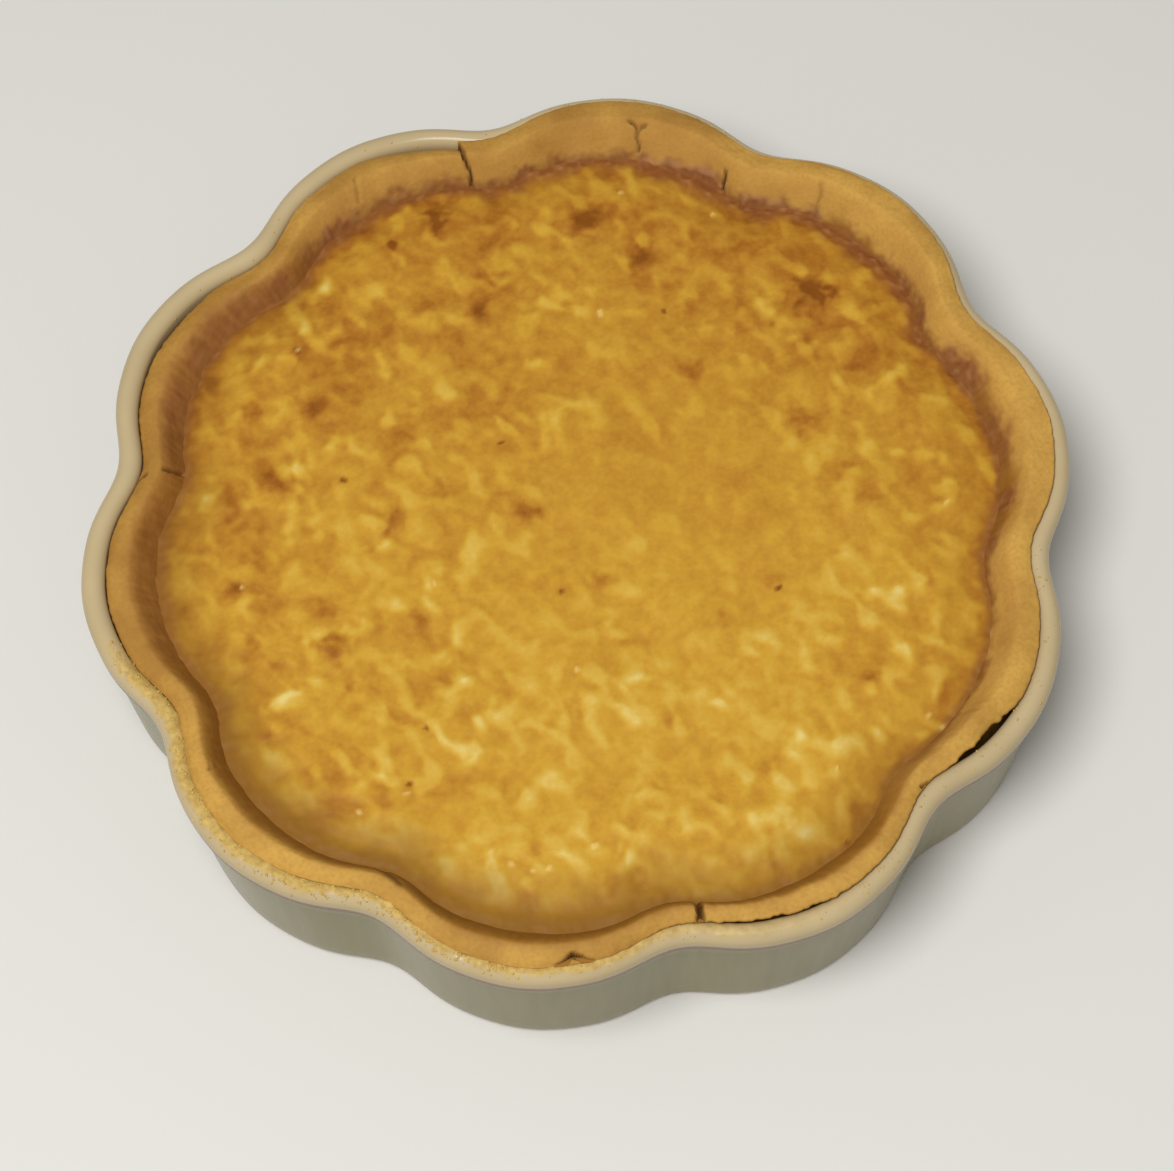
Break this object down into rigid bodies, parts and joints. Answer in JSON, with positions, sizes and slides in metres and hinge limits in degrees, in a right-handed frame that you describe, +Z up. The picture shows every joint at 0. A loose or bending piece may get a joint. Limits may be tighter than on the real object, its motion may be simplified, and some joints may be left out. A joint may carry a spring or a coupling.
{
  "type": "quiche in a ceramic dish",
  "caption": "Deep quiche baked in a scalloped ceramic dish, with a rounded pastry rim lining the dish and a mottled golden custard filling.",
  "frame": {"origin": "centre of the dish's flat underside", "axes": "+Z up out of the dish, +X through the middle of one lobe of the dish"},
  "size_m": [0.2936, 0.2844, 0.0617],
  "materials": {
    "dish_glaze": "glossy cream glaze, greyer and greener down the outer wall",
    "pastry": "baked shortcrust pastry, matt and golden, darker on its inner slope",
    "custard": "baked egg custard, mottled yellow and brown with a slight oily gloss"
  },
  "bodies": {
    "root": {"dish": "dish_glaze", "crust": "pastry", "filling": "custard"}
  },
  "joints": []
}
